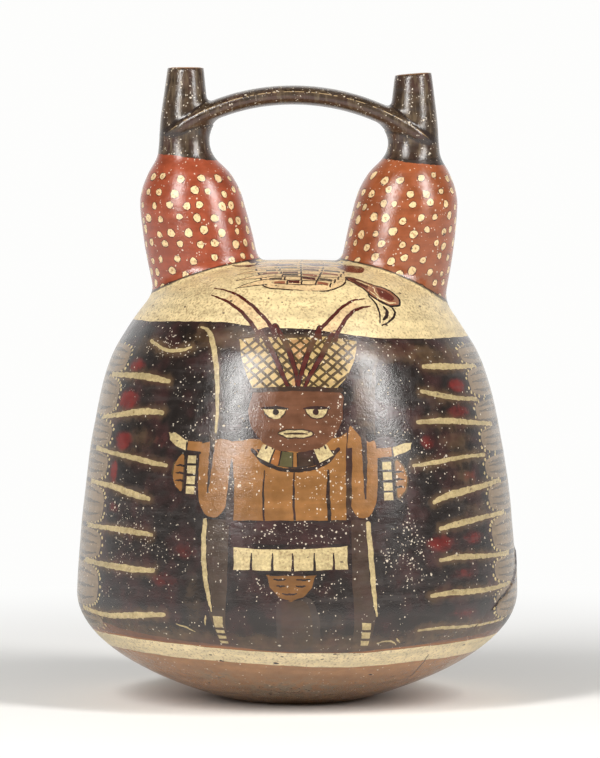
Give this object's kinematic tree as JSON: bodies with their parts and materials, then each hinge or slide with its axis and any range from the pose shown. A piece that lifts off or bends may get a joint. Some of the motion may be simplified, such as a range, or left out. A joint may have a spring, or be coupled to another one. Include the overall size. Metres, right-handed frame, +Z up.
{
  "type": "double-spout-and-bridge bottle",
  "caption": "Hollow round-bottomed clay bottle with a domed shoulder, paired bulbous spouts and a flat arched strap between their necks.",
  "frame": {"origin": "centre of the worn flat spot under the bottle, on the surface that it stands on", "axes": "+Z up along the jar's axis, X along the strap from one spout to the other, -Y towards the main painted figure"},
  "size_m": [0.1514, 0.1514, 0.218],
  "materials": {
    "painted_clay": "burnished painted slip on fired clay"
  },
  "bodies": {
    "root": {"vessel": "painted_clay"}
  },
  "joints": []
}
